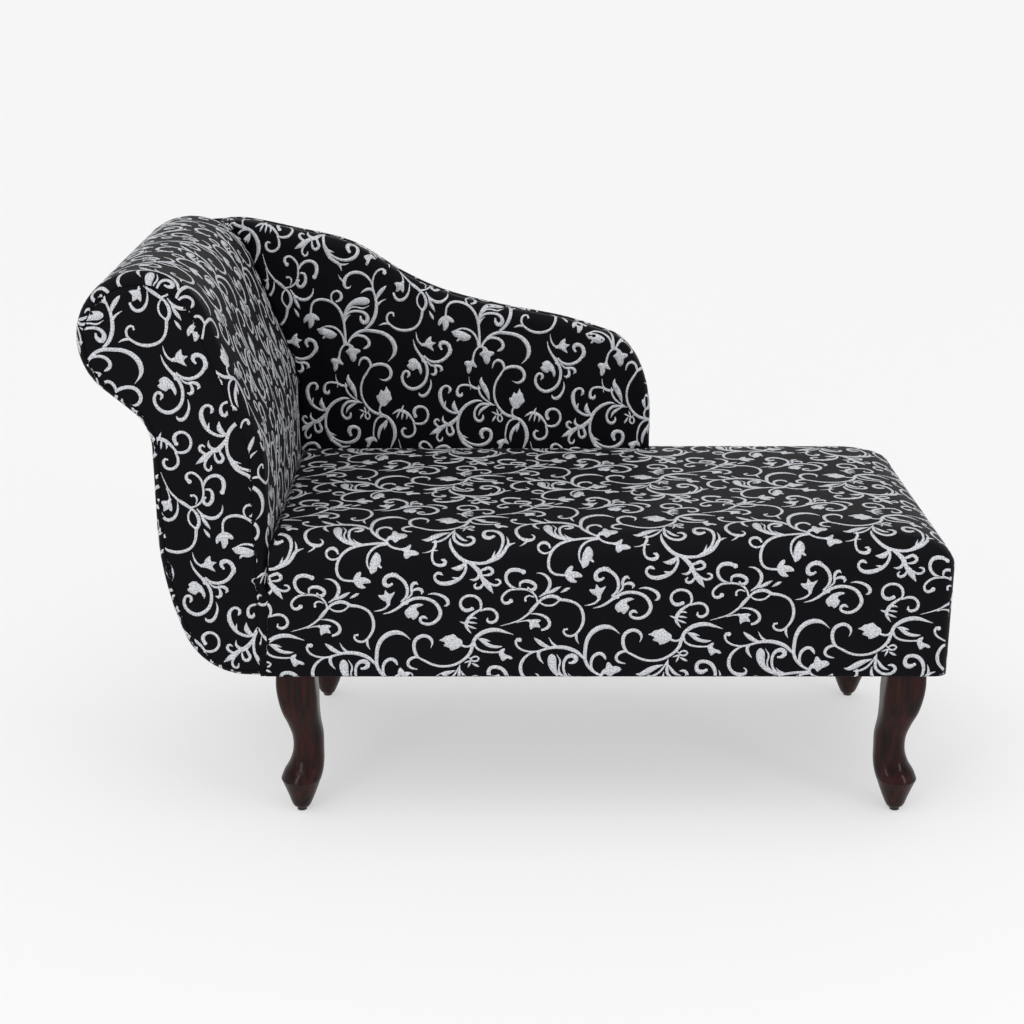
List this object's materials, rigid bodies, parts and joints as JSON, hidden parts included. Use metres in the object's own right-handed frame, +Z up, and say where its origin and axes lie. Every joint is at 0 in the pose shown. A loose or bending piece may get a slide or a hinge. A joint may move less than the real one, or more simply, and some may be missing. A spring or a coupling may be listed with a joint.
{
  "type": "chaise longue",
  "caption": "Small upholstered meridienne with a rolled head end, a low wavy backboard and a box seat on cabriole legs.",
  "frame": {"origin": "on the floor under the middle of the overall length and depth", "axes": "+X along the length from the head end to the foot end, +Y from the open front to the backboard, +Z up"},
  "size_m": [1.09, 0.44, 0.738],
  "materials": {
    "cover_cloth": "matt jacquard weave with a raised silver-grey scrolling vine",
    "dust_cloth": "thin black non-woven",
    "leg_wood": "dark mahogany stain under gloss varnish",
    "softwood": "planed pine",
    "plywood": "plain plywood",
    "liner_board": "hardboard",
    "foam": "open-cell upholstery foam",
    "wadding": "polyester wadding",
    "webbing": "jute webbing",
    "hessian": "plain hessian",
    "steel": "zinc-plated steel",
    "glide_plastic": "moulded nylon"
  },
  "bodies": {
    "root": {"front_seat_rail": "softwood", "rear_seat_rail": "softwood", "foot_end_rail": "softwood", "head_end_rail": "softwood", "cross_rail": "softwood", "front_ledger": "softwood", "rear_ledger": "softwood", "corner_blocks": "softwood", "corner_block_screws": "steel", "head_front_board": "plywood", "head_slat_base": "softwood", "head_slat_seat": "softwood", "head_slat_lumbar": "softwood", "head_slat_shoulder": "softwood", "head_slat_roll_top": "softwood", "head_slat_roll_outer": "softwood", "head_slat_hollow": "softwood", "head_slat_back": "softwood", "slat_screws": "steel", "head_inner_liner": "liner_board", "head_outer_liner": "liner_board", "backboard_panel": "plywood", "angle_brackets": "steel", "angle_bracket_screws": "steel", "seat_webbing_long": "webbing", "seat_webbing_cross": "webbing", "webbing_staples": "steel", "seat_hessian": "hessian", "seat_foam": "foam", "rail_padding": "wadding", "head_foam": "foam", "backboard_foam": "foam", "backboard_rear_padding": "wadding", "seat_cover": "cover_cloth", "head_inside_cover": "cover_cloth", "head_outside_cover": "cover_cloth", "head_facing_board": "plywood", "head_facing_cover": "cover_cloth", "backboard_front_cover": "cover_cloth", "backboard_rear_cover": "cover_cloth", "dust_cover": "dust_cloth", "leg_front_left": "leg_wood", "leg_front_right": "leg_wood", "leg_rear_left": "leg_wood", "leg_rear_right": "leg_wood", "hanger_bolts": "steel", "tee_nuts": "steel", "leg_glides": "glide_plastic"}
  },
  "joints": []
}
